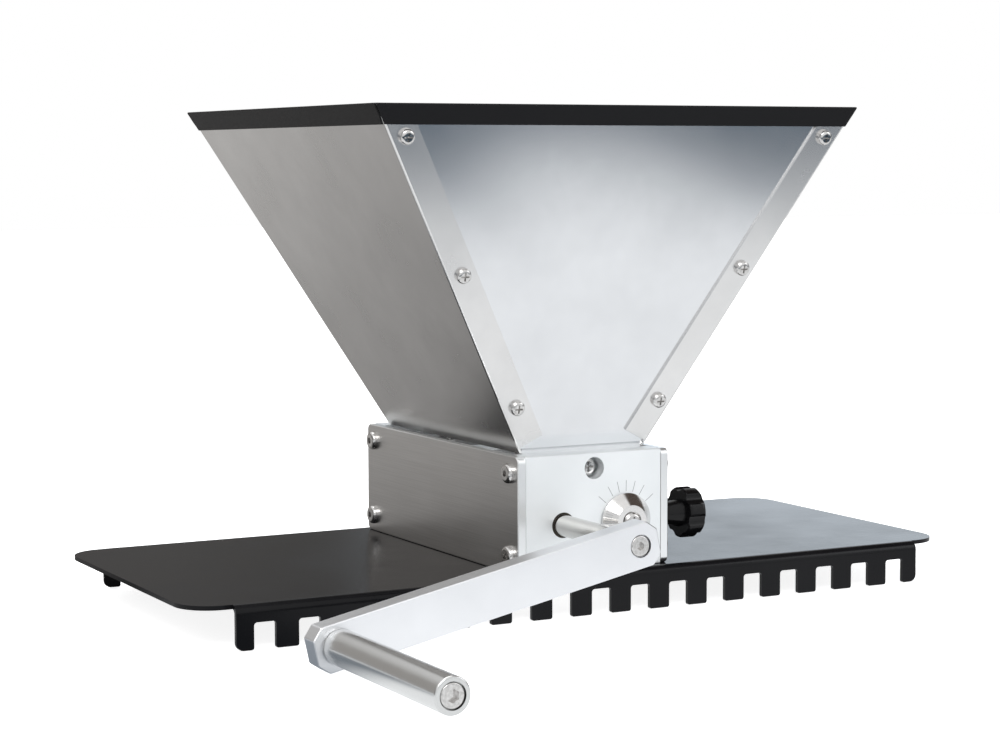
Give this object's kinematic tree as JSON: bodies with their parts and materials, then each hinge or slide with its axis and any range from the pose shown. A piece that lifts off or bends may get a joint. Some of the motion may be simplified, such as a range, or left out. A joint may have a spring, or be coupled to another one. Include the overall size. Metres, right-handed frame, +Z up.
{
  "type": "grain mill",
  "caption": "Two-roller grain mill with sheet hopper, hand crank, gap dials and lock knobs, on a comb-edged base plate that sits on a bucket.",
  "frame": {"origin": "under the middle of the mill body and of the discharge opening, level with the tooth tips that the mill stands on", "axes": "+X along the long side of the base plate towards the lock knobs, -Y towards the crank, +Z up out of the hopper"},
  "size_m": [0.4054, 0.3701, 0.2357],
  "materials": {
    "base_coat": "semi-gloss black powder coat",
    "end_plate_aluminium": "fine bead-blasted satin",
    "cover_steel": "brushed along its length",
    "hopper_steel": "mill-finished satin sheet",
    "trim_black": "matte black",
    "roller_steel": "machined, fluted",
    "bush_bronze": "oil-darkened bronze",
    "dial_steel": "turned and polished",
    "fastener_steel": "polished stainless",
    "knob_plastic": "glossy black",
    "crank_aluminium": "satin",
    "grip_aluminium": "fine turned satin",
    "washer_nylon": "natural nylon"
  },
  "bodies": {
    "mill_frame": {"base_plate": "base_coat", "base_screws": "fastener_steel", "front_end_plate": "end_plate_aluminium", "rear_end_plate": "end_plate_aluminium", "left_side_cover": "cover_steel", "right_side_cover": "cover_steel", "side_cover_screws": "fastener_steel", "front_drive_bush": "bush_bronze", "rear_drive_bush": "bush_bronze", "front_hopper_panel": "hopper_steel", "rear_hopper_panel": "hopper_steel", "left_hopper_panel": "hopper_steel", "right_hopper_panel": "hopper_steel", "hopper_screws": "fastener_steel", "hopper_nuts": "fastener_steel", "front_hopper_fixing_screw": "fastener_steel", "rear_hopper_fixing_screw": "fastener_steel", "front_hopper_fixing_nut": "fastener_steel", "rear_hopper_fixing_nut": "fastener_steel", "front_edge_trim": "trim_black", "rear_edge_trim": "trim_black", "left_edge_trim": "trim_black", "right_edge_trim": "trim_black"},
    "crank": {"drive_roller": "roller_steel", "crank_arm": "crank_aluminium", "crank_screw": "fastener_steel", "handle_bolt": "fastener_steel", "handle_washer": "washer_nylon"},
    "grip": {"handle_grip": "grip_aluminium"},
    "front_dial": {"front_eccentric_bush": "roller_steel", "front_gap_dial": "dial_steel", "front_dial_screw": "fastener_steel"},
    "rear_dial": {"rear_eccentric_bush": "roller_steel", "rear_gap_dial": "dial_steel", "rear_dial_screw": "fastener_steel"},
    "idle_roller": {"idle_roller": "roller_steel"},
    "front_knob": {"front_lock_knob": "knob_plastic", "front_lock_stud": "fastener_steel"},
    "rear_knob": {"rear_lock_knob": "knob_plastic", "rear_lock_stud": "fastener_steel"}
  },
  "joints": [
    {"name": "crank_turn", "type": "hinge", "parent": "mill_frame", "child": "crank", "pos_m": [-0.0165, 0, 0.042], "axis": [0, -1, 0], "continuous": true},
    {"name": "grip_spin", "type": "hinge", "parent": "crank", "child": "grip", "pos_m": [-0.16132, -0.2, 0.01148], "axis": [0, -1, 0], "continuous": true},
    {"name": "front_dial_turn", "type": "hinge", "parent": "mill_frame", "child": "front_dial", "pos_m": [0.017, -0.0825, 0.042], "axis": [0, -1, 0], "range_deg": [-80, 80]},
    {"name": "rear_dial_turn", "type": "hinge", "parent": "mill_frame", "child": "rear_dial", "pos_m": [0.017, 0.0825, 0.042], "axis": [0, -1, 0], "range_deg": [-80, 80]},
    {"name": "idle_spin", "type": "hinge", "parent": "front_dial", "child": "idle_roller", "pos_m": [0.017, 0, 0.041], "axis": [0, -1, 0], "continuous": true},
    {"name": "front_knob_turn", "type": "hinge", "parent": "mill_frame", "child": "front_knob", "pos_m": [0.052, -0.073, 0.042], "axis": [1, 0, 0], "range_deg": [0, 360]},
    {"name": "rear_knob_turn", "type": "hinge", "parent": "mill_frame", "child": "rear_knob", "pos_m": [0.052, 0.073, 0.042], "axis": [1, 0, 0], "range_deg": [0, 360]}
  ],
  "couplings": [
    {"joint": "rear_dial_turn", "follows": "front_dial_turn", "ratio": 1}
  ]
}
